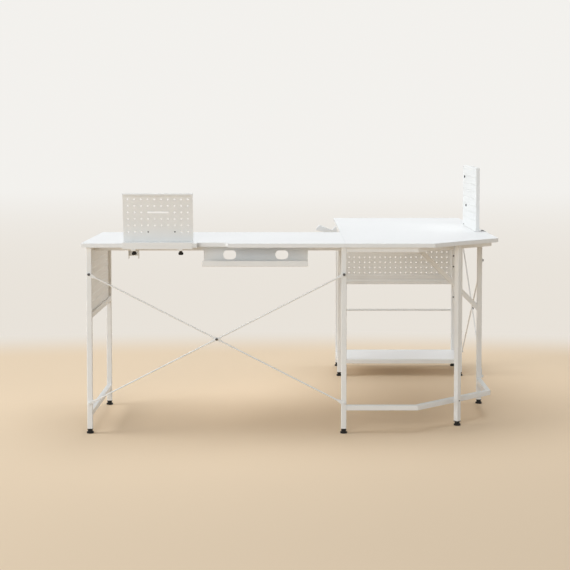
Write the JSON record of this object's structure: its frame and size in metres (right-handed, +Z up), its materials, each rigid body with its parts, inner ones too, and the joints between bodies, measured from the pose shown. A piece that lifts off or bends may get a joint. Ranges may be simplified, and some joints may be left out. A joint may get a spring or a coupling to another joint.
{
  "type": "corner desk",
  "caption": "L-shaped corner desk on a white square tube frame with crossed braces, an end rack, perforated panels, edge-clamped pegboards, a cable tray and levelling feet.",
  "frame": {"origin": "on the floor, under the centre of the desk's outer rectangle", "axes": "+Z up; the rear edge of the left wing faces -Y, and the rear edge of the right wing faces +X"},
  "size_m": [1.6022, 1.6034, 0.988],
  "materials": {
    "melamine_board": "satin white melamine",
    "powder_coat": "fine white powder coat",
    "black_plastic": "moulded black plastic",
    "zinc_steel": "black zinc"
  },
  "bodies": {
    "frame": {"brace_bolts": "zinc_steel", "cable_tray": "powder_coat", "chamfer_leg": "powder_coat", "corner_board": "melamine_board", "corner_low_rail": "powder_coat", "corner_top_rail": "powder_coat", "left_board": "melamine_board", "left_brace_inner": "powder_coat", "left_brace_outer": "powder_coat", "left_front_leg": "powder_coat", "left_joint_leg": "powder_coat", "left_knee_brace": "powder_coat", "left_low_rail": "powder_coat", "left_panel_rail": "powder_coat", "left_rear_leg": "powder_coat", "left_seam_rail": "powder_coat", "left_side_panel": "powder_coat", "left_stretcher": "powder_coat", "left_top_rail": "powder_coat", "leg_caps": "black_plastic", "rack_end_front_leg": "powder_coat", "rack_end_low_rail": "powder_coat", "rack_end_panel": "powder_coat", "rack_end_rear_leg": "powder_coat", "rack_end_top_rail": "powder_coat", "rack_guard_rod": "powder_coat", "rack_middle_front_leg": "powder_coat", "rack_middle_low_rail": "powder_coat", "rack_middle_rear_leg": "powder_coat", "rack_middle_top_rail": "powder_coat", "rack_panel_rail": "powder_coat", "rack_shelf": "melamine_board", "right_board": "melamine_board", "right_brace_inner": "powder_coat", "right_brace_outer": "powder_coat", "right_joint_leg": "powder_coat", "right_knee_brace": "powder_coat", "right_seam_rail": "powder_coat", "right_stretcher": "powder_coat", "saddle_hook": "powder_coat", "under_hook_bracket": "powder_coat"},
    "foot_chamfer": {"foot_chamfer": "black_plastic"},
    "foot_left_front": {"foot_left_front": "black_plastic"},
    "foot_left_joint": {"foot_left_joint": "black_plastic"},
    "foot_left_rear": {"foot_left_rear": "black_plastic"},
    "foot_rack_end_front": {"foot_rack_end_front": "black_plastic"},
    "foot_rack_end_rear": {"foot_rack_end_rear": "black_plastic"},
    "foot_rack_middle_front": {"foot_rack_middle_front": "black_plastic"},
    "foot_rack_middle_rear": {"foot_rack_middle_rear": "black_plastic"},
    "foot_right_joint": {"foot_right_joint": "black_plastic"},
    "small_pegboard": {"small_pegboard": "powder_coat", "small_clamps": "powder_coat"},
    "small_screw_left": {"small_clamp_screw_left": "black_plastic"},
    "small_screw_right": {"small_clamp_screw_right": "black_plastic"},
    "large_pegboard": {"large_pegboard": "powder_coat", "large_clamps": "powder_coat"},
    "large_screw_near": {"large_clamp_screw_near": "black_plastic"},
    "large_screw_far": {"large_clamp_screw_far": "black_plastic"}
  },
  "joints": [
    {"name": "foot_chamfer_level", "type": "slide", "parent": "frame", "child": "foot_chamfer", "axis": [0, 0, -1], "range_m": [0, 0.01]},
    {"name": "foot_left_front_level", "type": "slide", "parent": "frame", "child": "foot_left_front", "axis": [0, 0, -1], "range_m": [0, 0.01]},
    {"name": "foot_left_joint_level", "type": "slide", "parent": "frame", "child": "foot_left_joint", "axis": [0, 0, -1], "range_m": [0, 0.01]},
    {"name": "foot_left_rear_level", "type": "slide", "parent": "frame", "child": "foot_left_rear", "axis": [0, 0, -1], "range_m": [0, 0.01]},
    {"name": "foot_rack_end_front_level", "type": "slide", "parent": "frame", "child": "foot_rack_end_front", "axis": [0, 0, -1], "range_m": [0, 0.01]},
    {"name": "foot_rack_end_rear_level", "type": "slide", "parent": "frame", "child": "foot_rack_end_rear", "axis": [0, 0, -1], "range_m": [0, 0.01]},
    {"name": "foot_rack_middle_front_level", "type": "slide", "parent": "frame", "child": "foot_rack_middle_front", "axis": [0, 0, -1], "range_m": [0, 0.01]},
    {"name": "foot_rack_middle_rear_level", "type": "slide", "parent": "frame", "child": "foot_rack_middle_rear", "axis": [0, 0, -1], "range_m": [0, 0.01]},
    {"name": "foot_right_joint_level", "type": "slide", "parent": "frame", "child": "foot_right_joint", "axis": [0, 0, -1], "range_m": [0, 0.01]},
    {"name": "small_pegboard_slide", "type": "slide", "parent": "frame", "child": "small_pegboard", "axis": [1, 0, 0], "range_m": [-0.12, 0.03]},
    {"name": "large_pegboard_slide", "type": "slide", "parent": "frame", "child": "large_pegboard", "axis": [0, 1, 0], "range_m": [-0.015, 0.2]},
    {"name": "small_screw_left_turn", "type": "slide", "parent": "small_pegboard", "child": "small_screw_left", "axis": [0, 0, -1], "range_m": [0, 0.007]},
    {"name": "small_screw_right_turn", "type": "slide", "parent": "small_pegboard", "child": "small_screw_right", "axis": [0, 0, -1], "range_m": [0, 0.007]},
    {"name": "large_screw_near_turn", "type": "slide", "parent": "large_pegboard", "child": "large_screw_near", "axis": [0, 0, -1], "range_m": [0, 0.007]},
    {"name": "large_screw_far_turn", "type": "slide", "parent": "large_pegboard", "child": "large_screw_far", "axis": [0, 0, -1], "range_m": [0, 0.007]}
  ]
}
